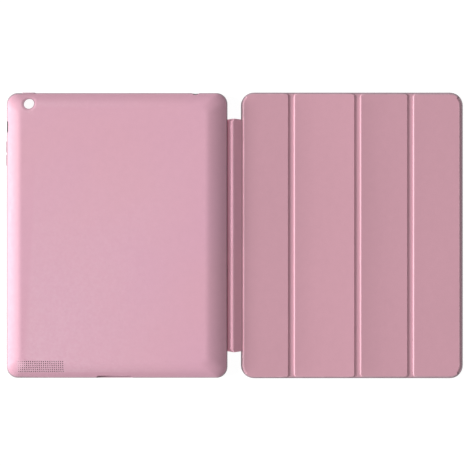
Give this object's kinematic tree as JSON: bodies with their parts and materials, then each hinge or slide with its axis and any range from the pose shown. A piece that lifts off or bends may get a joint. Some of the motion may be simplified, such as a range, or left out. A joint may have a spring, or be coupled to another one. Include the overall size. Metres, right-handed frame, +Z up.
{
  "type": "tablet case",
  "caption": "Folio case for a tablet: a moulded back shell, a creased spine and a panelled cover that folds into a stand.",
  "frame": {"origin": "centre of the open case's outline, on the surface that it lies on", "axes": "+X from the back shell towards the cover's free edge, +Y towards the camera end, +Z up out of the case's outer side"},
  "size_m": [0.3954, 0.2484, 0.0129],
  "materials": {
    "outer_skin": "fine-grained polyurethane, satin, pale pink",
    "cover_skin": "fine-grained polyurethane, satin, pale pink",
    "moulded_core": "matt moulded plastic, pink",
    "inner_lining": "brushed microfibre, pink",
    "stiff_board": "pressed fibre board, uncoated",
    "plated_metal": "nickel plated"
  },
  "bodies": {
    "shell": {"shell_core": "moulded_core", "shell_skin": "outer_skin", "shell_lining": "inner_lining"},
    "power_button": {"power_button_pad": "outer_skin"},
    "volume_up_button": {"volume_up_pad": "outer_skin"},
    "volume_down_button": {"volume_down_pad": "outer_skin"},
    "spine_inner": {"spine_inner_skin": "cover_skin", "spine_inner_lining": "inner_lining"},
    "spine_outer": {"spine_outer_skin": "cover_skin", "spine_outer_lining": "inner_lining"},
    "panel_1": {"panel_1_skin": "cover_skin", "panel_1_board": "stiff_board", "panel_1_lining": "inner_lining", "keeper_strip": "plated_metal", "fold_1_skin_strip": "cover_skin", "fold_1_lining_strip": "inner_lining"},
    "panel_2": {"panel_2_skin": "cover_skin", "panel_2_board": "stiff_board", "panel_2_lining": "inner_lining", "fold_2_skin_strip": "cover_skin", "fold_2_lining_strip": "inner_lining"},
    "panel_3": {"panel_3_skin": "cover_skin", "panel_3_board": "stiff_board", "panel_3_lining": "inner_lining", "fold_3_skin_strip": "cover_skin", "fold_3_lining_strip": "inner_lining"},
    "panel_4": {"panel_4_skin": "cover_skin", "panel_4_board": "stiff_board", "panel_4_lining": "inner_lining", "closure_magnet_1": "plated_metal", "closure_magnet_2": "plated_metal", "closure_magnet_3": "plated_metal", "closure_magnet_4": "plated_metal", "sleep_magnet": "plated_metal"}
  },
  "joints": [
    {"name": "spine_to_shell", "type": "hinge", "parent": "shell", "child": "spine_inner", "pos_m": [-0.00645, 0, 0.0008], "axis": [0, -1, 0], "range_deg": [-49.2, 46.6]},
    {"name": "spine_crease", "type": "hinge", "parent": "spine_inner", "child": "spine_outer", "pos_m": [-0.0011, 0, 0.0052], "axis": [0, -1, 0], "range_deg": [-85.2, 83.2]},
    {"name": "cover_to_spine", "type": "hinge", "parent": "spine_outer", "child": "panel_1", "pos_m": [0.00445, 0, 0.0012], "axis": [0, -1, 0], "range_deg": [-45.6, 50.2]},
    {"name": "fold_1", "type": "hinge", "parent": "panel_1", "child": "panel_2", "pos_m": [0.04885, 0, 0.0006], "axis": [0, 1, 0], "range_deg": [-90, 127], "deforming": ["fold_1_skin_strip", "fold_1_lining_strip"]},
    {"name": "fold_2", "type": "hinge", "parent": "panel_2", "child": "panel_3", "pos_m": [0.10635, 0, 0.0006], "axis": [0, 1, 0], "range_deg": [-90, 123], "deforming": ["fold_2_skin_strip", "fold_2_lining_strip"]},
    {"name": "fold_3", "type": "hinge", "parent": "panel_3", "child": "panel_4", "pos_m": [0.15235, 0, 0.0006], "axis": [0, 1, 0], "range_deg": [-120, 110], "deforming": ["fold_3_skin_strip", "fold_3_lining_strip"]},
    {"name": "power_button_press", "type": "slide", "parent": "shell", "child": "power_button", "axis": [0, -1, 0], "range_m": [0, 0.0005], "stiffness_N_per_m": 400},
    {"name": "volume_up_press", "type": "slide", "parent": "shell", "child": "volume_up_button", "axis": [1, 0, 0], "range_m": [0, 0.0005], "stiffness_N_per_m": 400},
    {"name": "volume_down_press", "type": "slide", "parent": "shell", "child": "volume_down_button", "axis": [1, 0, 0], "range_m": [0, 0.0005], "stiffness_N_per_m": 400}
  ]
}
